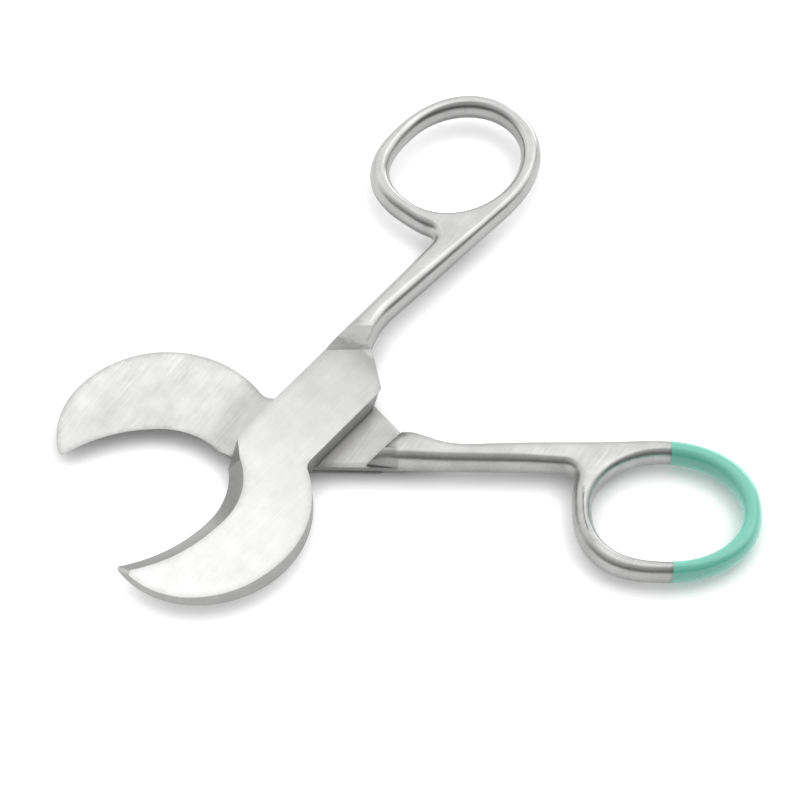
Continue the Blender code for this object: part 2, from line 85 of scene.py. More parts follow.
mitreLimit = 0.5  # so that a sharp corner isn't moved out without end


def polar(centre, radius, angle):
    return Vector((centre[0] + radius * math.cos(angle), centre[1] + radius * math.sin(angle)))


def arc(centre, radius, start, end, steps):
    return [polar(centre, radius, start + (end - start) * i / steps) for i in range(steps + 1)]


def span(start, end, steps):
    return [start.lerp(end, i / steps) for i in range(1, steps)]


def meet(angleA, distanceA, angleB, distanceB):  # crossing of two lines, by normal and distance
    ax, ay, bx, by = math.cos(angleA), math.sin(angleA), math.cos(angleB), math.sin(angleB)
    scale = ax * by - ay * bx
    x, y = distanceA * by - distanceB * ay, ax * distanceB - bx * distanceA
    return Vector((x / scale, y / scale))


def fillet(before, corner, after, radius, steps):
    toBefore, toAfter = (before - corner).normalized(), (after - corner).normalized()
    halfAngle = toBefore.angle(toAfter) / 2
    centre = corner + (toBefore + toAfter).normalized() * (radius / math.sin(halfAngle))
    first = corner + toBefore * (radius / math.tan(halfAngle))
    last = corner + toAfter * (radius / math.tan(halfAngle))
    start = math.atan2(first.y - centre.y, first.x - centre.x)
    return arc(centre, radius, start, start + (last - centre).angle_signed(first - centre), steps)


def inset(points, distances):  # every point of a loop moved to its left along the mitre
    moved = []
    for i, (point, distance) in enumerate(zip(points, distances)):
        before = (point - points[i - 1]).normalized()
        after = (points[(i + 1) % len(points)] - point).normalized()
        left = Vector((-before.y - after.y, before.x + after.x)).normalized()
        share = max(mitreLimit, left.dot(Vector((-before.y, before.x))))
        moved.append(point + left * (distance / share))
    return moved


def ease(along):  # 0 to 1 with a soft start and end
    along = min(1.0, max(0.0, along))
    return along * along * (3 - 2 * along)


def fillFace(bm, loops, spacing, heightAt):
    # Triangles inside the outer loop and outside the hole, on a grid fine enough to curve
    border = [v for loop in loops for v in loop]
    flat = np.array([v.co.xy[:] for v in border])
    edges, start = [], 0
    for loop in loops:
        edges += [(start + i, start + (i + 1) % len(loop)) for i in range(len(loop))]
        start += len(loop)
    low, high = flat.min(0), flat.max(0)
    inner = []
    rows = int((high[1] - low[1]) / spacing)
    for r in range(1, rows):
        y = low[1] + r * spacing
        shift = spacing / 2 * (r % 2)
        for c in range(1, int((high[0] - low[0]) / spacing)):
            x = low[0] + c * spacing + shift
            if np.hypot(flat[:, 0] - x, flat[:, 1] - y).min() > spacing * borderClear:
                inner.append(Vector((x, y)))
    coords = [Vector(p) for p in flat] + inner
    places, _, faces, origin, _, _ = delaunay_2d_cdt(coords, edges, [], 1, onePlace)
    verts = []
    for place, sources in zip(places, origin):
        known = [s for s in sources if s < len(border)]
        if known:
            verts.append(border[known[0]])
        else:
            verts.append(bm.verts.new((place.x, place.y, heightAt(place.x, place.y))))
    hole = [v.co.xy for v in loops[1]] if len(loops) > 1 else []
    for face in faces:
        middle = sum((places[i] for i in face), Vector((0, 0))) / 3
        if hole and insideLoop(middle, hole):
            continue
        bm.faces.new([verts[i] for i in face])
    loose = [v for v in bm.verts if not v.link_faces]
    bmesh.ops.delete(bm, geom=loose, context='VERTS')


def insideLoop(point, loop):
    inside = False
    for a, b in zip(loop, loop[1:] + loop[:1]):
        if (a.y > point.y) != (b.y > point.y):
            if point.x < a.x + (b.x - a.x) * (point.y - a.y) / (b.y - a.y):
                inside = not inside
    return inside


def closeWalls(bm, rings):
    for a, b in zip(rings, rings[1:]):
        for i in range(len(a)):
            j = (i + 1) % len(a)
            bm.faces.new((a[i], b[i], b[j], a[j]))


def meshOf(bm, name):
    bmesh.ops.recalc_face_normals(bm, faces=bm.faces)
    mesh = bpy.data.meshes.new(name)
    bm.to_mesh(mesh)
    bm.free()
    return mesh


# Blade and lap plate

def edgeLine(outer):
    low = blade["lowY"] - (blade["bevelDepth"] if outer else 0)
    tipRadius = blade["bevelTipRadius"] if outer else blade["tipRadius"]
    heelRadius = blade["heelRadius"]
    heelReach = blade["heelReach"] + (lap["edgeSideLean"] * lap["thickness"] if outer else 0)
    down = math.radians(-90)
    tipAngle = math.asin(blade["tipReach"] / tipRadius)
    heelAngle = math.asin(heelReach / heelRadius)
    tipCentre, heelCentre = (blade["lowX"], low + tipRadius), (blade["lowX"], low + heelRadius)
    steps = blade["steps"] // 2
    tipSide = arc(tipCentre, tipRadius, down - tipAngle, down, steps)
    heelSide = arc(heelCentre, heelRadius, down, down + heelAngle, steps)
    return tipSide[:-1] + heelSide


def backLine(tip, draft, side):
    centre = Vector((blade["backX"], blade["backY"]))
    radius = blade["backRadius"] - draft
    turn = Vector((math.cos(blade["backTipTurn"]), math.sin(blade["backTipTurn"])))
    tipCentre = centre + turn * (blade["backRadius"] - blade["backTipRadius"])
    tipRadius = blade["backTipRadius"] - draft
    tipLift = math.asin((tip.y - tipCentre.y) / tipRadius)
    tipSteps = blade["steps"] // 3
    tipArc = arc(tipCentre, tipRadius, math.pi - tipLift, blade["backTipTurn"], tipSteps)
    filletY = -side - blade["neckFillet"]
    filletX = centre.x + math.sqrt((radius + blade["neckFillet"]) ** 2 - (filletY - centre.y) ** 2)
    angle = math.atan2(filletY - centre.y, filletX - centre.x)
    mainSteps = blade["steps"] - tipSteps
    mainArc = arc(centre, radius, blade["backTipTurn"], angle + 2 * math.pi, mainSteps)
    neck = arc((filletX, filletY), blade["neckFillet"], angle + math.pi, math.radians(90), arcSteps)
    return [tip.copy()] + tipArc[1:-1] + mainArc + neck[1:]


def plateOutline(outer):
    rise = lap["thickness"] if outer else 0
    edgeSide = lap["edgeSide"] - lap["edgeSideLean"] * rise
    backSide = lap["backSide"] - lap["backSideLean"] * rise
    edge = edgeLine(outer)
    back = backLine(edge[0], blade["backDraft"] if outer else 0, backSide)
    root = Vector((lap["rootX"], edgeSide))
    heelCorner = Vector((blade["heelCornerX"] - lap["edgeSideLean"] * rise, edgeSide))
    heel = fillet(edge[-1], heelCorner, root, blade["heelCorner"], arcSteps)
    endDistance = lap["endDistance"] + lap["endLean"] * rise
    sideAngle = math.atan(handle["rootSlope"]) - math.radians(90)
    sideDistance = handle["kneeX"] * math.cos(sideAngle) + handle["kneeY"] * math.sin(sideAngle)
    endTop = meet(lap["endAngle"], endDistance, sideAngle, sideDistance - lap["endTuck"])
    corner = meet(lap["endAngle"], endDistance, math.radians(-90), backSide)
    endRound = fillet(endTop, corner, back[-1], lap["endCorner"], arcSteps)
    return edge + heel + [root, endTop] + endRound + back[:0:-1]


def bladeTop(x):  # height of the blade's outer face, thinner towards the tip
    length = blade["taperStart"] + blade["backRadius"] - blade["backX"]
    share = max(0.0, blade["taperStart"] - x) / length
    loss = lap["thickness"] - blade["tipThickness"]
    return lap["thickness"] - loss * share * share / (share + blade["taperEase"])


def acrossBlade(x, y):
    # First 0 on the cutting edge to 1 on the back, then 0 at the tip to 1 at the heel
    low = blade["lowY"]
    radius = blade["tipRadius"] if x < blade["lowX"] else blade["heelRadius"]
    fromEdge = math.hypot(x - blade["lowX"], y - low - radius) - radius
    fromBack = blade["backRadius"] - math.hypot(x - blade["backX"], y - blade["backY"])
    across = min(1.0, max(0.0, fromEdge / max(onePlace, fromEdge + max(0.0, fromBack))))
    along = (x - y * blade["formSlant"] - blade["formStart"]) / blade["formLength"]
    return across, min(1.0, max(0.0, along))


def matingHeight(x, y):
    floor = lap["gap"] / 2
    across, along = acrossBlade(x, y)
    fade = ease(blade["hollowFade"] * (1 - along)) * ease(blade["hollowFade"] * along)
    return floor + blade["hollow"] * fade * math.sin(math.pi * across)


def outerHeight(x, y):
    across, along = acrossBlade(x, y)
    fade = ease(blade["crownFade"] * (1 - along))
    return bladeTop(x) - blade["crown"] * fade * (2 * across - 1) ** 2


def plateMesh():
    inner, outer = plateOutline(False), plateOutline(True)
    floor, top, rim = lap["gap"] / 2, lap["thickness"], lap["rimRound"]
    bm = bmesh.new()
    rings = [[bm.verts.new((p.x, p.y, floor)) for p in inner]]
    for k in range(lap["rimSteps"] + 1):
        turn = math.radians(90) * k / lap["rimSteps"]
        height = top - rim + rim * math.sin(turn)
        ring = []
        for p in inset(outer, [rim * (1 - math.cos(turn))] * len(outer)):
            share = (height - floor) / (top - floor)
            ring.append(bm.verts.new((p.x, p.y, floor + (bladeTop(p.x) - floor) * share)))
        rings.append(ring)
    closeWalls(bm, rings)
    fillFace(bm, [rings[0]], lap["grid"], matingHeight)
    fillFace(bm, [rings[-1]], lap["grid"], outerHeight)
    return meshOf(bm, "plate")


# Shank and finger ring

def alongHandle(x, shankValue, ringValue):
    share = ease((x - handle["changeStart"]) / (handle["changeEnd"] - handle["changeStart"]))
    return shankValue + (ringValue - shankValue) * share


def humpDepth(x, y, depth):  # how far the handle reaches past the mating face, most at the hump
    angle = lap["shoulderAngle"]
    back = x * math.cos(angle) + y * math.sin(angle) - lap["endDistance"]
    if back < handle["humpPeak"]:
        before = handle["humpPeak"] - max(back, 0.0)
        return handle["humpDepth"] - before ** 2 / (2 * handle["humpRadius"])
    fall = ease((back - handle["humpPeak"]) / (handle["humpEnd"] - handle["humpPeak"]))
    return handle["humpDepth"] + (depth - handle["humpDepth"]) * fall


def ringOuter(angle):
    c, s = math.cos(angle), math.sin(angle)
    power = 2 / (handle["endSquare"] if c >= 0 else handle["frontSquare"])
    reach = handle["endReach"] if c >= 0 else -handle["frontReach"]
    y = handle["ringY"] + math.copysign(handle["sideReach"] * abs(s) ** power, s)
    return Vector((handle["ringX"] + reach * abs(c) ** power, y))


search = {"from": math.radians(150), "to": math.radians(240), "halvings": 50, "step": 1e-4}


def notchStart():  # where the ring's front meets the round of the notch
    low, high = search["from"], search["to"]
    for _ in range(search["halvings"]):
        angle = (low + high) / 2
        ahead = ringOuter(angle + search["step"]) - ringOuter(angle - search["step"])
        centre = ringOuter(angle) + Vector((ahead.y, -ahead.x)).normalized() * handle["notch"]
        if centre.y > handle["edgeSide"] + handle["notch"]:
            low = angle
        else:
            high = angle
    return angle, centre


def levelAt(line, x):  # height of a line of points at x
    for a, b in zip(line, line[1:]):
        if a.x <= x <= b.x:
            return a.y + (b.y - a.y) * (x - a.x) / (b.x - a.x)
    return line[-1].y


def handleOutline():
    rootX = lap["endDistance"] - handle["rootReach"]
    rootLow = Vector((rootX, handle["kneeY"] - handle["rootSlope"] * (handle["kneeX"] - rootX)))
    rootHigh = Vector((rootX, handle["edgeSide"] - handle["rootInset"]))
    knee = Vector((handle["kneeX"], handle["kneeY"]))
    u = (knee.x - handle["ringX"]) / handle["frontReach"]
    v = (knee.y - handle["ringY"]) / handle["sideReach"]
    touchAngle = math.atan2(v, u) + math.acos(1 / math.hypot(u, v))
    touch = ringOuter(touchAngle)
    bend = fillet(rootLow, knee, touch, handle["kneeRadius"], 4 * arcSteps)
    backSide = [rootLow] + bend + [touch]
    notchAngle, centre = notchStart()
    shankEnd = Vector((centre.x, handle["edgeSide"]))
    fullWidth = Vector((lap["endDistance"] + handle["rootReach"], handle["edgeSide"]))
    edgeSide = [rootHigh, fullWidth, shankEnd]
    count = handle["shankSteps"]
    shares = [(i / count) ** handle["rootCrowding"] for i in range(count + 1)]
    stations = [rootX + (shankEnd.x - rootX) * share for share in shares]
    low = [Vector((x, levelAt(backSide, x))) for x in stations]
    high = [Vector((x, levelAt(edgeSide, x))) for x in stations]
    points = low + span(low[-1], touch, handle["touchSteps"])
    sweep, steps = notchAngle - touchAngle, 2 * handle["ringSteps"]
    points += [ringOuter(touchAngle + sweep * i / steps) for i in range(steps + 1)]
    leave = math.atan2(points[-1].y - centre.y, points[-1].x - centre.x)
    points += arc(centre, handle["notch"], leave, math.radians(-90), arcSteps)[1:-1]
    return points + high[::-1]


def holeOutline():
    front = handle["ringX"] - handle["frontReach"] + handle["frontWidth"]
    end = handle["ringX"] + handle["endReach"] - handle["endWidth"]
    low = handle["ringY"] - handle["sideReach"] + handle["backWidth"]
    high = handle["ringY"] + handle["sideReach"] - handle["edgeWidth"]
    centre = Vector(((front + end) / 2, (low + high) / 2))
    points = []
    for i in range(2 * handle["ringSteps"]):
        angle = -math.pi * i / handle["ringSteps"]
        c, s = math.cos(angle), math.sin(angle)
        besideNotch = c < 0 < s
        power = 2 / handle["holeSquare" if besideNotch else "holePlain"]
        x = (end - front) / 2 * math.copysign(abs(c) ** power, c)
        points.append(centre + Vector((x, (high - low) / 2 * math.copysign(abs(s) ** power, s))))
    return points


def handleForm(rise, grow):  # shank and ring as one rounded band, thicker by grow all round
    bm = bmesh.new()
    faces = []
    outer = handleOutline()

    def levels(x, y, under):
        middle = alongHandle(x, *rise)
        half = alongHandle(x, handle["shankHalf"], handle["ringHalf"])
        if under:
            half = middle + humpDepth(x, y, half - middle)
        return middle, half + grow

    for outline in (outer, holeOutline()):
        rings = []
        for k in range(handle["profileSteps"] + 1):
            turn = math.pi * k / handle["profileSteps"] - math.pi / 2
            widths = [alongHandle(p.x, handle["shankRound"], handle["ringRound"]) for p in outline]
            ring = inset(outline, [width - (width + grow) * math.cos(turn) for width in widths])
            if outline is outer:
                ring[0].x = ring[-1].x = outer[0].x  # the root end stays square
            verts = []
            for p, base in zip(ring, outline):
                middle, half = levels(base.x, base.y, turn < 0)
                verts.append(bm.verts.new((p.x, p.y, middle + half * math.sin(turn))))
            rings.append(verts)
        closeWalls(bm, rings)
        faces.append((rings[0], rings[-1]))
    for level, side in ((0, -1), (1, 1)):
        def heightAt(x, y):
            middle, half = levels(x, y, side < 0)
            return middle + side * half
        fillFace(bm, [faces[0][level], faces[1][level]], handle["grid"], heightAt)
    bmesh.ops.recalc_face_normals(bm, faces=bm.faces)
    return bm


def keepSide(bm, point, normal):
    cut = bm.faces[:] + bm.edges[:] + bm.verts[:]
    bmesh.ops.bisect_plane(
        bm, geom=cut, dist=onePlane, plane_co=point, plane_no=normal, clear_inner=True
    )
    openEdges = [e for e in bm.edges if e.is_boundary]
    bmesh.ops.triangle_fill(bm, use_beauty=True, use_dissolve=False, edges=openEdges)


def placed(mesh, name):
    piece = bpy.data.objects.new(name, mesh)
    bpy.context.collection.objects.link(piece)
    return piece


def carve(piece, tool, operation):  # Boolean with its result kept as plain mesh
    modifier = piece.modifiers.new("form", 'BOOLEAN')
    modifier.operation, modifier.solver, modifier.object = operation, 'EXACT', tool
    bpy.context.view_layer.update()
    depsgraph = bpy.context.evaluated_depsgraph_get()
    result = bpy.data.meshes.new_from_object(piece.evaluated_get(depsgraph))
    piece.modifiers.clear()
    old = piece.data
    piece.data = result
    bpy.data.meshes.remove(old)
    bpy.data.objects.remove(tool)


def cylinder(radius, low, high, segments=roundSteps):
    bm = bmesh.new()
    middle = Matrix.Translation((0, 0, (low + high) / 2))
    bmesh.ops.create_cone(
        bm, cap_ends=True, segments=segments, radius1=radius, radius2=radius,
        depth=high - low, matrix=middle,
    )
    return placed(meshOf(bm, "cylinder"), "tool")


def turned(profile):
    bm = bmesh.new()
    rings = []
    for radius, z in profile:
        turns = [2 * math.pi * i / roundSteps for i in range(roundSteps)]
        rings.append([bm.verts.new((radius * math.cos(t), radius * math.sin(t), z)) for t in turns])
    bm.faces.new(rings[0])
    bm.faces.new(rings[-1])
    closeWalls(bm, rings)
    return placed(meshOf(bm, "turned"), "tool")


mend = {"joinWithin": 5e-4, "sliverBelow": 2e-4}  # millimetres


def clean(mesh):  # closes slivers of the cuts and takes out the flat pairs of faces they leave
    bm = bmesh.new()
    bm.from_mesh(mesh)
    bmesh.ops.remove_doubles(bm, verts=bm.verts, dist=mend["joinWithin"])
    bmesh.ops.dissolve_degenerate(bm, dist=mend["sliverBelow"], edges=bm.edges)
    bmesh.ops.triangulate(bm, faces=[face for face in bm.faces if len(face.verts) > 4])
    shared = {}
    for face in bm.faces:
        shared.setdefault(frozenset(vert.index for vert in face.verts), []).append(face)
    pairs = [face for faces in shared.values() if len(faces) > 1 for face in faces]
    bmesh.ops.delete(bm, geom=pairs, context='FACES')
    bm.to_mesh(mesh)
    bm.free()


millimetre = 0.001
flatFaceWeight = 60


def smooth(piece, angle):
    mesh = piece.data
    clean(mesh)
    mesh.transform(Matrix.Scale(millimetre, 4))
    mesh.shade_smooth()
    mesh.set_sharp_from_angle(angle=math.radians(angle))
    weights = piece.modifiers.new("faceNormals", 'WEIGHTED_NORMAL')
    weights.keep_sharp = True
    weights.weight = flatFaceWeight


# The hollow that parts the block from the rounded shank
scallop = {"radius": 8.0, "start": 12.4, "middle": 15.4, "halfLength": 15, "steps": 360}


def forgedHalf(name, rise):
    half = placed(plateMesh(), name)
    bm = handleForm(rise, 0.0)
    angle = lap["shoulderAngle"]
    across = Vector((math.cos(angle), math.sin(angle), 0))
    shoulder = across * (lap["endDistance"] + lap["stopGap"])
    keepSide(bm, shoulder, (across + Vector((0, 0, lap["endLean"]))).normalized())
    carve(half, placed(meshOf(bm, "handle"), "tool"), 'UNION')
    reach = scallop["middle"] - scallop["start"]
    halfLength = scallop["halfLength"]
    tool = cylinder(scallop["radius"], -halfLength, halfLength, scallop["steps"])
    tool.location = across * scallop["middle"]
    tool.location.z = lap["thickness"] + math.sqrt(scallop["radius"] ** 2 - reach ** 2)
    tool.rotation_euler = (math.radians(90), 0, angle)
    carve(half, tool, 'DIFFERENCE')
    return half


# Materials

def newGroup(name, inputs, outputs):
    group = bpy.data.node_groups.new(name, 'ShaderNodeTree')
    for label, kind, value in inputs:
        socket = group.interface.new_socket(name=label, in_out='INPUT', socket_type=kind)
        if value is not None:
            socket.default_value = value
    for label, kind in outputs:
        group.interface.new_socket(name=label, in_out='OUTPUT', socket_type=kind)
    return group, group.nodes.new("NodeGroupInput"), group.nodes.new("NodeGroupOutput")


def math2(tree, operation, first, second=None):
    node = tree.nodes.new("ShaderNodeMath")
    node.operation = operation
    for socket, value in zip(node.inputs, (first, second)):
        if isinstance(value, (int, float)):
            socket.default_value = value
        elif value is not None:
            tree.links.new(value, socket)
    return node.outputs[0]


def ramp(tree, value, low, high):  # 0 below low, 1 above high, soft between
    node = tree.nodes.new("ShaderNodeMapRange")
    node.interpolation_type = 'SMOOTHSTEP'
    node.inputs["From Min"].default_value = low
    node.inputs["From Max"].default_value = high
    tree.links.new(value, node.inputs["Value"])
    return node.outputs["Result"]


def blend(tree, share, first, second):  # mix of two values
    node = tree.nodes.new("ShaderNodeMix")
    node.data_type = 'FLOAT'
    names = ("Factor", "A", "B")
    for name, value in zip(names, (share, first, second)):
        if isinstance(value, (int, float)):
            node.inputs[name].default_value = value
        else:
            tree.links.new(value, node.inputs[name])
    return node.outputs["Result"]


def tint(tree, level, dark, light):  # mix of two colours
    node = tree.nodes.new("ShaderNodeMix")
    node.data_type = 'RGBA'
    tree.links.new(level, node.inputs["Factor"])
    node.inputs["A"].default_value = (*dark, 1)
    node.inputs["B"].default_value = (*light, 1)
    return node.outputs["Result"]


def addShare(tree, value, mask, amount):  # value and a share of a mask
    return math2(tree, 'ADD', value, math2(tree, 'MULTIPLY', mask, amount))


def without(tree, mask):
    return math2(tree, 'SUBTRACT', 1.0, mask)


def stored(tree, name):  # a value kept on the mesh's points
    node = tree.nodes.new("ShaderNodeAttribute")
    node.attribute_name = name
    return node


def noise(tree, vector, scale, detail, roughness):
    node = tree.nodes.new("ShaderNodeTexNoise")
    node.inputs["Scale"].default_value = scale
    node.inputs["Detail"].default_value = detail
    node.inputs["Roughness"].default_value = roughness
    tree.links.new(vector, node.inputs["Vector"])
    return node.outputs["Fac"]


grainLook = {
    "lines": {"scale": 2900, "detail": 2.0, "roughness": 0.6}, "lineStretch": 0.045,
    "scratches": {"scale": 1900, "detail": 2.0, "roughness": 0.6}, "scratchStretch": 0.06,
    "rarest": (0.62, 0.74),
}


def grainGroup():  # fine parallel lines of a belt or wheel, a few longer scratches between them
    group, start, end = newGroup(
        "brushedGrain",
        [("Vector", 'NodeSocketVector', None), ("Angle", 'NodeSocketFloat', 0.0)],
        [("Lines", 'NodeSocketFloat'), ("Scratches", 'NodeSocketFloat')],
    )
    turn = group.nodes.new("ShaderNodeVectorRotate")
    turn.rotation_type = 'Z_AXIS'
    group.links.new(start.outputs["Vector"], turn.inputs["Vector"])
    group.links.new(start.outputs["Angle"], turn.inputs["Angle"])

    def stretched(stretch, form):
        squeeze = group.nodes.new("ShaderNodeVectorMath")
        squeeze.operation = 'MULTIPLY'
        squeeze.inputs[1].default_value = (stretch, 1.0, 1.0)
        group.links.new(turn.outputs[0], squeeze.inputs[0])
        return noise(group, squeeze.outputs[0], **form)

    lines = stretched(grainLook["lineStretch"], grainLook["lines"])
    scratches = stretched(grainLook["scratchStretch"], grainLook["scratches"])
    group.links.new(lines, end.inputs["Lines"])
    group.links.new(ramp(group, scratches, *grainLook["rarest"]), end.inputs["Scratches"])
    return group


cloudLook = {"scale": 260, "detail": 3.0, "roughness": 0.55}


def cloudGroup():  # broad soft patches left by hand polishing
    group, start, end = newGroup(
        "polishClouds",
        [("Vector", 'NodeSocketVector', None)],
        [("Clouds", 'NodeSocketFloat')],
    )
    drawn = noise(group, start.outputs["Vector"], **cloudLook)
    group.links.new(drawn, end.inputs["Clouds"])
    return group


# Where each zone fades in: metres along the half's own axes, or how much a face looks up or down
zoneEdges = {
    "flat": (0.78, 1.0), "bevel": (0.25, 0.6), "steep": (0.35, 0.8),
    "handle": (0.010, 0.016), "crease": (-0.030, 0.030), "dish": (0.0178, 0.0198),
    "heelFrom": (-0.014, -0.012), "heelTo": (-0.005, -0.0035), "cuttingSide": (0.0, 0.001),
    "fromTip": (-0.028, -0.010), "lowest": (0.0001, 0.0013), "behindBlade": (-0.006, -0.002),
}
zoneLook = {
    "bevelAtTip": 0.4, "ragged": 0.006,
    "raggedForm": {"scale": 420, "detail": 3.0, "roughness": 0.6},
}


def zoneGroup():  # masks for ground flats, walls and bevels with painted shade, the darker handle, and painted shade on the block's end and in the crevice
    labels = ("Flat", "Bevel", "Handle", "CreaseShade", "CreviceShade")
    group, start, end = newGroup(
        "finishZones",
        [("Vector", 'NodeSocketVector', None), ("Normal", 'NodeSocketVector', None)],
        [(label, 'NodeSocketFloat') for label in labels],
    )
    place = group.nodes.new("ShaderNodeSeparateXYZ")
    facing = group.nodes.new("ShaderNodeSeparateXYZ")
    group.links.new(start.outputs["Vector"], place.inputs[0])
    group.links.new(start.outputs["Normal"], facing.inputs[0])
    x, y, z = (place.outputs[axis] for axis in "XYZ")
    upright = math2(group, 'ABSOLUTE', facing.outputs["Z"])

    def zone(value, name):
        return ramp(group, value, *zoneEdges[name])

    def both(first, second):
        return math2(group, 'MULTIPLY', first, second)

    handleZone = zone(x, "handle")
    # faces that turn away from up get the walls' painted shade; flats and the handle are spared it
    flatZone = math2(group, 'MAXIMUM', zone(upright, "flat"), handleZone)
    # the heel on the cutting side counts as bevel, so it is spared the walls' painted shade
    heel = both(without(group, zone(x, "heelTo")), zone(x, "heelFrom"))
    heel = both(heel, zone(y, "cuttingSide"))
    bevelZone = math2(group, 'MAXIMUM', zone(upright, "bevel"), heel)
    # painted shade: bevels darken towards the tip
    bevelZone = both(bevelZone, blend(group, zone(x, "fromTip"), zoneLook["bevelAtTip"], 1.0))
    # painted shade on the block towards the shank, ending with a ragged edge at the scallop
    spots = noise(group, start.outputs["Vector"], **zoneLook["raggedForm"])
    dished = zone(addShare(group, x, spots, zoneLook["ragged"]), "dish")
    creaseShadeZone = both(zone(x, "crease"), without(group, dished))
    # painted shade on low steep faces behind the blade, the crevice at the foot of the upper
    # block's walls
    steep = both(without(group, zone(upright, "steep")), zone(x, "behindBlade"))
    creviceShadeZone = both(without(group, zone(z, "lowest")), steep)
    masks = (flatZone, bevelZone, handleZone, creaseShadeZone, creviceShadeZone)
    for label, mask in zip(labels, masks):
        group.links.new(mask, end.inputs[label])
    return group


grain = grainGroup()
clouds = cloudGroup()
finish = zoneGroup()


def useGroup(tree, group, **values):
    node = tree.nodes.new("ShaderNodeGroup")
    node.node_tree = group
    for label, value in values.items():
        if isinstance(value, (int, float)):
            node.inputs[label].default_value = value
        else:
            tree.links.new(value, node.inputs[label])
    return node


def plainMaterial(name, colour, metallic, roughness):
    material = bpy.data.materials.new(name)
    material.use_nodes = True
    shader = material.node_tree.nodes["Principled BSDF"]
    shader.inputs["Base Color"].default_value = (*colour, 1)
    shader.inputs["Metallic"].default_value = metallic
    shader.inputs["Roughness"].default_value = roughness
    return material


def bumped(tree, shader, height, strength, depth):
    bump = tree.nodes.new("ShaderNodeBump")
    bump.inputs["Strength"].default_value = strength
    bump.inputs["Distance"].default_value = depth
    tree.links.new(height, bump.inputs["Height"])
    tree.links.new(bump.outputs["Normal"], shader.inputs["Normal"])


# Shared by the three steels
polish = {
    "contrast": (0.2, 0.8), "cloudRougher": 0.08, "cloudSmoother": 0.06, "seatRougher": 0.08,
    "scratchDepth": 0.8, "bumpDepth": 0.00002,
}


def satinSteel(name, settings):
    material = plainMaterial(name, settings["light"], 1.0, settings["roughness"])
    tree = material.node_tree
    shader = tree.nodes["Principled BSDF"]
    place = stored(tree, "place").outputs["Vector"]
    edgeShade, seat = stored(tree, "edgeShade").outputs["Fac"], stored(tree, "seat").outputs["Fac"]
    facing = tree.nodes.new("ShaderNodeTexCoord").outputs["Normal"]
    brushed = useGroup(tree, grain, Vector=place, Angle=settings["grainAngle"])
    lines, scratches = brushed.outputs["Lines"], brushed.outputs["Scratches"]
    patches = useGroup(tree, clouds, Vector=place).outputs["Clouds"]
    zones = useGroup(tree, finish, Vector=place, Normal=facing).outputs

    level = blend(tree, settings["grainShare"], patches, lines)
    level = addShare(tree, level, scratches, settings["scratch"])
    level = ramp(tree, level, *polish["contrast"])
    colour = tint(tree, level, settings["dark"], settings["light"])
    # walls darker than the flats: painted shade
    share = blend(tree, zones["Bevel"], settings["wallShadeShare"], settings["bevelShare"])
    share = blend(tree, zones["Flat"], share, 1.0)
    # each mask darkens the colour by its share; along sharp edges this is painted shade
    masks = {
        # seat: duller grind and painted shade beside the other half's block
        "edgeShadeShare": edgeShade, "seatFinishAndShadeShare": seat, "handleShare": zones["Handle"],
        # crease: painted shade towards the block's end
        "creaseShadeShare": zones["CreaseShade"], "creviceShadeShare": zones["CreviceShade"],
    }
    for label, mask in masks.items():
        share = math2(tree, 'MULTIPLY', share, blend(tree, mask, 1.0, settings[label]))
    dull = tree.nodes.new("ShaderNodeVectorMath")
    dull.operation = 'SCALE'
    tree.links.new(colour, dull.inputs[0])
    tree.links.new(share, dull.inputs["Scale"])
    tree.links.new(dull.outputs[0], shader.inputs["Base Color"])

    roughest = settings["roughness"] + polish["cloudRougher"]
    smoothest = settings["roughness"] - polish["cloudSmoother"]
    rough = blend(tree, patches, roughest, smoothest)
    rough = addShare(tree, rough, seat, polish["seatRougher"])
    rough = addShare(tree, rough, zones["Handle"], settings["handleRougher"])
    tree.links.new(rough, shader.inputs["Roughness"])
    height = addShare(tree, lines, scratches, polish["scratchDepth"])
    bumped(tree, shader, height, settings["bump"], polish["bumpDepth"])
    return material


def dippedCoat(name, settings):  # even colour with a painted pale sheen where it turns away from view, faintly dimpled
    material = plainMaterial(name, settings["deep"], 0.0, settings["roughness"])
    tree = material.node_tree
    shader = tree.nodes["Principled BSDF"]
    place = stored(tree, "place").outputs["Vector"]
    patches = useGroup(tree, clouds, Vector=place).outputs["Clouds"]
    turning = tree.nodes.new("ShaderNodeLayerWeight")
    turning.inputs["Blend"].default_value = 0.5
    # painted sheen: paler where the surface turns away from view
    rim = ramp(tree, turning.outputs["Facing"], *settings["sheenRange"])
    level = math2(tree, 'MULTIPLY', rim, settings["paintedSheen"])
    level = addShare(tree, level, patches, settings["palePatches"])
    colour = tint(tree, level, settings["deep"], settings["pale"])
    tree.links.new(colour, shader.inputs["Base Color"])
    roughest = settings["roughness"] + settings["cloudRougher"]
    smoothest = settings["roughness"] - settings["cloudSmoother"]
    tree.links.new(blend(tree, patches, roughest, smoothest), shader.inputs["Roughness"])
    shader.inputs["Coat Weight"].default_value = settings["gloss"]
    shader.inputs["Coat Roughness"].default_value = settings["glossRoughness"]
    dimples = noise(tree, place, **settings["dimpleForm"])
    bumped(tree, shader, dimples, settings["dimples"], settings["dimpleDepth"])
    return material


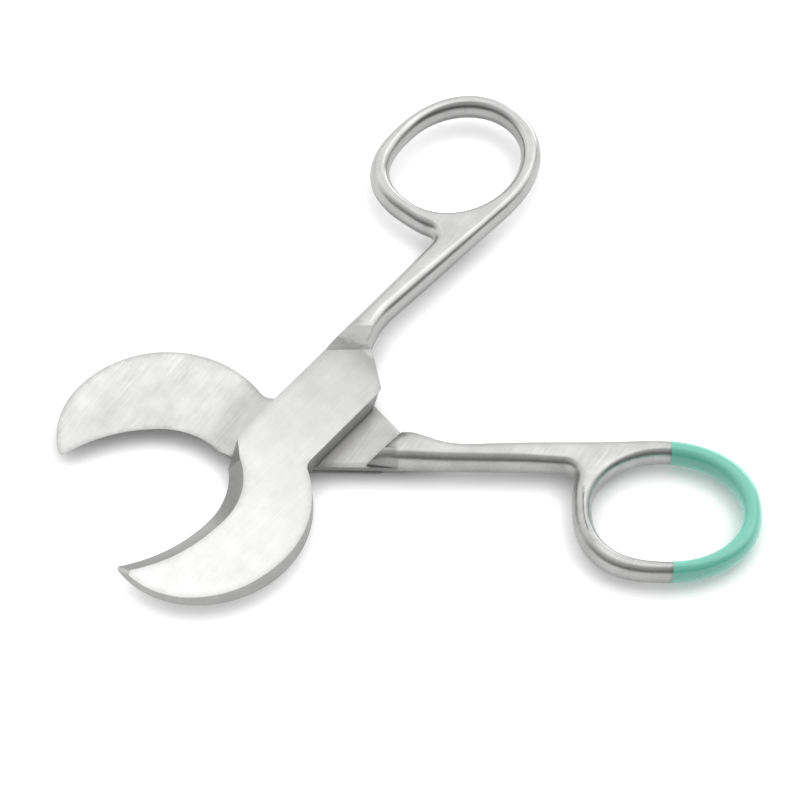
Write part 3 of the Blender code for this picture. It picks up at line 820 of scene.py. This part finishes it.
mintLook = {
    "deep": (0.14, 0.53, 0.40), "pale": (0.30, 0.78, 0.64),
    "paintedSheen": 0.9, "sheenRange": (0.25, 0.95), "palePatches": 0.25,
    "roughness": 0.24, "cloudRougher": 0.06, "cloudSmoother": 0.04,
    "gloss": 0.8, "glossRoughness": 0.06,
    "dimples": 0.12, "dimpleDepth": 0.00004,
    "dimpleForm": {"scale": 900, "detail": 1.0, "roughness": 0.4},
}
lowerSteelLook = {
    "dark": (0.51, 0.508, 0.502), "light": (0.69, 0.688, 0.682), "roughness": 0.30,
    "grainAngle": 1.0, "grainShare": 0.4, "scratch": 0.22, "bump": 0.25,
    "edgeShadeShare": 0.72, "seatFinishAndShadeShare": 0.78, "wallShadeShare": 0.72, "bevelShare": 1.0,
    "handleShare": 0.80, "handleRougher": 0.02, "creaseShadeShare": 1.0, "creviceShadeShare": 1.0,
}
upperSteelLook = {
    "dark": (0.65, 0.648, 0.642), "light": (0.78, 0.778, 0.772), "roughness": 0.28,
    "grainAngle": 0.0, "grainShare": 0.28, "scratch": 0.12, "bump": 0.20,
    "edgeShadeShare": 0.80, "seatFinishAndShadeShare": 0.78, "wallShadeShare": 0.70, "bevelShare": 1.0,
    "handleShare": 0.70, "handleRougher": -0.04, "creaseShadeShare": 0.60, "creviceShadeShare": 0.60,
}
screwSteelLook = {
    "dark": (0.45, 0.45, 0.45), "light": (0.62, 0.62, 0.62), "roughness": 0.22,
    "grainAngle": 0.8, "grainShare": 0.4, "scratch": 0.2, "bump": 0.2,
    "edgeShadeShare": 1.0, "seatFinishAndShadeShare": 1.0, "wallShadeShare": 1.0, "bevelShare": 1.0,
    "handleShare": 1.0, "handleRougher": 0.0, "creaseShadeShare": 1.0, "creviceShadeShare": 1.0,
}

lowerSteel = satinSteel("lowerSatinSteel", lowerSteelLook)
upperSteel = satinSteel("upperSatinSteel", upperSteelLook)
screwSteel = satinSteel("screwSteel", screwSteelLook)
mint = dippedCoat("mintCoat", mintLook)
print("materials made")


edgeShadeReach = 0.00025  # metres over which the painted edge shade fades


def markEdgeShade(piece):  # how near each point lies to a sharp edge, for the painted shade along it
    mesh = piece.data
    sharp = mesh.attributes.get("sharp_edge")
    flags = np.zeros(len(mesh.edges), bool)
    if sharp:
        sharp.data.foreach_get("value", flags)
    coords = np.empty(len(mesh.vertices) * 3)
    mesh.vertices.foreach_get("co", coords)
    coords = coords.reshape(-1, 3)
    ends = np.empty(len(mesh.edges) * 2, int)
    mesh.edges.foreach_get("vertices", ends)
    near = np.zeros(len(mesh.vertices))
    used = np.unique(ends.reshape(-1, 2)[flags])
    tree = KDTree(len(used))
    for i in used:
        tree.insert(coords[i], int(i))
    tree.balance()
    for i, co in enumerate(coords):
        found = tree.find(co) if len(used) else (None, None, None)
        if found[2] is not None:
            near[i] = math.exp(-found[2] / edgeShadeReach)
    edgeShade = mesh.attributes.new("edgeShade", 'FLOAT', 'POINT')
    edgeShade.data.foreach_set("value", near)


# Millimetres: the slanting line where the ground seat starts, how softly, and how far it goes
seatZone = {"x": -13.2, "y": -1.0, "slant": 0.55, "soft": 5.0, "height": 0.6, "end": 14}


def markSeat(piece):  # the ground lap faces that slide on each other; their darker colour is partly their duller grind and partly painted shade beside the other half's block
    mesh = piece.data
    seat = mesh.attributes.new("seat", 'FLOAT', 'POINT')
    values = []
    for v in mesh.vertices:
        x, y, z = (c / millimetre for c in v.co)
        across = x - seatZone["x"] + seatZone["slant"] * (y - seatZone["y"])
        onFace = z < seatZone["height"] and x < seatZone["end"]
        values.append(ease(across / seatZone["soft"] + 0.5) if onFace else 0.0)
    seat.data.foreach_set("value", values)


def markPlace(piece):  # each point's place in the half's own frame, for the grain and the zones
    mesh = piece.data
    coords = np.empty(len(mesh.vertices) * 3)
    mesh.vertices.foreach_get("co", coords)
    mesh.attributes.new("place", 'FLOAT_VECTOR', 'POINT').data.foreach_set("vector", coords)


sharpAngle = {"steel": 30, "coat": 50}  # degrees from which an edge stays sharp


def settle(piece, matrix, body, node, material, angle):
    smooth(piece, angle)
    piece.data.materials.clear()
    piece.data.materials.append(material)
    markEdgeShade(piece)
    markSeat(piece)
    markPlace(piece)
    piece.data.transform(matrix)
    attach(piece, body)
    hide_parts(node)
    print(piece.name, len(piece.data.polygons), "faces")


# Placing: the lower half is turned over, the upper one opened to the photographed angle

lowerHalf = {"rise": (-0.2, 0.3), "headHole": 2.95, "bore": 1.85, "headRim": 0.35, "through": 6}
upperHalf = {
    "rise": (0.6, 1.0), "opening": math.radians(51), "boreStart": -3, "seatDepth": 2.4,
}
ringCoat = {
    "start": 55.15, "slant": 0.03, "proud": 0.10, "thickness": 0.34, "gap": 0.04, "cutOut": 0.8,
}
jointScrew = {
    "radius": 1.8, "head": 2.9, "rim": 0.3, "headBreak": 0.08, "slotWidth": 0.9,
    "slotDepth": 0.7, "chamfer": 0.45, "tipGap": 0.1,
}

atPivot = Matrix.Translation(pivot)
turnedOver = atPivot @ Matrix.Rotation(math.pi, 4, 'X')
opened = atPivot @ Matrix.Rotation(upperHalf["opening"], 4, 'Z')


def lowerHalfPiece():
    half = forgedHalf("lowerHalfSteel", lowerHalf["rise"])
    bore, headHole, through = lowerHalf["bore"], lowerHalf["headHole"], lowerHalf["through"]
    rim = lap["thickness"] - lowerHalf["headRim"]
    cone = rim - (headHole - bore)
    hole = turned([(bore, -through), (bore, cone), (headHole, rim), (headHole, through)])
    carve(half, hole, 'DIFFERENCE')
    under = ringCoat["proud"] - ringCoat["thickness"] - ringCoat["gap"]
    carve(half, coatSleeve(ringCoat["cutOut"], under), 'DIFFERENCE')
    settle(half, turnedOver, "lower", "lower_half", lowerSteel, sharpAngle["steel"])


def upperHalfPiece():
    half = forgedHalf("upperHalfSteel", upperHalf["rise"])
    seat = cylinder(lowerHalf["bore"], upperHalf["boreStart"], upperHalf["seatDepth"])
    carve(half, seat, 'DIFFERENCE')
    settle(half, opened, "upper", "upper_half", upperSteel, sharpAngle["steel"])


def coatSleeve(growOut, growIn):  # the ring's far part between two thicknesses
    bm = handleForm(lowerHalf["rise"], growOut)
    keepSide(bm, (ringCoat["start"], 0, 0), (1, ringCoat["slant"], 0))
    sleeve = placed(meshOf(bm, "coat"), "coatTool")
    inside = placed(meshOf(handleForm(lowerHalf["rise"], growIn), "inside"), "inside")
    carve(sleeve, inside, 'DIFFERENCE')
    return sleeve


def ringCoatPiece():
    coat = coatSleeve(ringCoat["proud"], ringCoat["proud"] - ringCoat["thickness"])
    coat.name = "ringCoat"
    settle(coat, turnedOver, "lower", "ring_colour_coat", mint, sharpAngle["coat"])


def jointScrewPiece():
    top = upperHalf["seatDepth"] - jointScrew["tipGap"]
    rim = lap["thickness"] - jointScrew["rim"]
    head, body, chamfer = jointScrew["head"], jointScrew["radius"], jointScrew["chamfer"]
    headBreak = jointScrew["headBreak"]
    screw = turned([
        (head - headBreak, -lap["thickness"]), (head, -lap["thickness"] + headBreak),
        (head, -rim), (body, -rim + head - body), (body, top - chamfer), (body - chamfer, top),
    ])
    screw.name = "jointScrew"
    bm = bmesh.new()
    bmesh.ops.create_cube(bm, size=1.0)
    size = (4 * head, jointScrew["slotWidth"], 2 * jointScrew["slotDepth"])
    bmesh.ops.scale(bm, vec=size, verts=bm.verts)
    bmesh.ops.translate(bm, vec=(0, 0, -lap["thickness"]), verts=bm.verts)
    carve(screw, placed(meshOf(bm, "slot"), "tool"), 'DIFFERENCE')
    settle(screw, opened, "upper", "joint_screw", screwSteel, sharpAngle["steel"])


lowerHalfPiece()
upperHalfPiece()
ringCoatPiece()
jointScrewPiece()


# Studio: white floor under a dome of soft light, brighter behind the scissors than before them

studio = {
    "floorSize": 2.0, "floorDrop": 0.00002, "floorWhite": 0.93, "floorRough": 0.9,
    "floorLift": 0.52, "mirroredLift": 0.14,
    "shadowReach": 0.0045, "shadowSamples": 8, "shadowPower": 2.2,
    "domeBack": 1.02, "frontLow": 0.04, "frontHigh": 0.55,
    "frontRise": (0.06, 0.78), "frontToBack": (-0.45, 0.35),
}
glows = [  # degrees right of straight behind and up, half angles where each is full and gone
    {"right": 0, "up": 60, "full": 14, "gone": 50, "light": 0.28},
    {"right": 30, "up": 8, "full": 8, "gone": 20, "light": 2.4},
    {"right": 70, "up": 50, "full": 15, "gone": 40, "light": 0.8},
    {"right": -90, "up": 35, "full": 25, "gone": 65, "light": 0.2},
    {"right": 52, "up": 25, "full": 8, "gone": 26, "light": -0.45},
]


def floorPiece():
    bm = bmesh.new()
    bmesh.ops.create_grid(bm, x_segments=1, y_segments=1, size=studio["floorSize"])
    floor = placed(meshOf(bm, "floor"), "studioFloor")
    floor.location.z = -studio["floorDrop"]
    white = (studio["floorWhite"],) * 3
    material = plainMaterial("whiteFloor", white, 0.0, studio["floorRough"])
    tree = material.node_tree
    shader = tree.nodes["Principled BSDF"]
    shader.inputs["Specular IOR Level"].default_value = 0.0
    shader.inputs["Emission Color"].default_value = (1, 1, 1, 1)
    path = tree.nodes.new("ShaderNodeLightPath").outputs
    mirrored = math2(tree, 'MAXIMUM', path["Is Glossy Ray"], path["Is Transmission Ray"])
    mirrored = math2(tree, 'MULTIPLY', mirrored, studio["mirroredLift"])
    seen = math2(tree, 'MULTIPLY', path["Is Camera Ray"], studio["floorLift"])
    shade = tree.nodes.new("ShaderNodeAmbientOcclusion")  # the lift spares the object's shadow
    shade.samples = studio["shadowSamples"]
    shade.inputs["Distance"].default_value = studio["shadowReach"]
    unshaded = math2(tree, 'POWER', shade.outputs["AO"], studio["shadowPower"])
    seen = math2(tree, 'MULTIPLY', unshaded, seen)
    tree.links.new(math2(tree, 'MAXIMUM', seen, mirrored), shader.inputs["Emission Strength"])
    floor.data.materials.append(material)


def dome():
    world = bpy.data.worlds.new("studioDome")
    bpy.context.scene.world = world
    world.use_nodes = True
    tree = world.node_tree
    direction = tree.nodes.new("ShaderNodeTexCoord").outputs["Generated"]
    parts = tree.nodes.new("ShaderNodeSeparateXYZ")
    tree.links.new(direction, parts.inputs[0])
    back = ramp(tree, parts.outputs["Y"], *studio["frontToBack"])
    rise = ramp(tree, parts.outputs["Z"], *studio["frontRise"])
    front = blend(tree, rise, studio["frontLow"], studio["frontHigh"])
    strength = blend(tree, back, front, studio["domeBack"])
    for glow in glows:
        aim = Vector((0, 1, 0))
        aim.rotate(Matrix.Rotation(math.radians(glow["up"]), 3, 'X'))
        aim.rotate(Matrix.Rotation(math.radians(-glow["right"]), 3, 'Z'))
        facing = tree.nodes.new("ShaderNodeVectorMath")
        facing.operation = 'DOT_PRODUCT'
        tree.links.new(direction, facing.inputs[0])
        facing.inputs[1].default_value = aim
        low, high = math.cos(math.radians(glow["gone"])), math.cos(math.radians(glow["full"]))
        patch = ramp(tree, facing.outputs["Value"], low, high)
        strength = addShare(tree, strength, patch, glow["light"])
    tree.links.new(strength, tree.nodes["Background"].inputs["Strength"])
    tree.nodes["Background"].inputs["Color"].default_value = (1, 1, 1, 1)


floorPiece()
dome()
print("floor and dome ready,", len(glows), "glows")

# Camera

view = {
    "elevation": math.radians(55.1), "turn": math.radians(-1.736), "roll": math.radians(2.3),
    "distance": 0.53122, "aim": (-0.001176, -0.010657, 0.00315),
    "lens": 158.29, "sensor": 36, "nearest": 0.02, "farthest": 10,
}


def cameraPiece():
    data = bpy.data.cameras.new("photoCamera")
    data.lens, data.sensor_width = view["lens"], view["sensor"]
    data.clip_start, data.clip_end = view["nearest"], view["farthest"]
    camera = placed(data, "photoCamera")
    turn = Matrix.Rotation(view["turn"], 4, 'Z')
    tilt = Matrix.Rotation(math.radians(90) - view["elevation"], 4, 'X')
    roll = Matrix.Rotation(view["roll"], 4, 'Z')
    back = Matrix.Translation((0, 0, view["distance"]))
    camera.matrix_world = Matrix.Translation(view["aim"]) @ turn @ tilt @ roll @ back
    bpy.context.scene.camera = camera


cameraPiece()
print("camera placed")
bpy.context.scene.view_settings.view_transform = 'Standard'
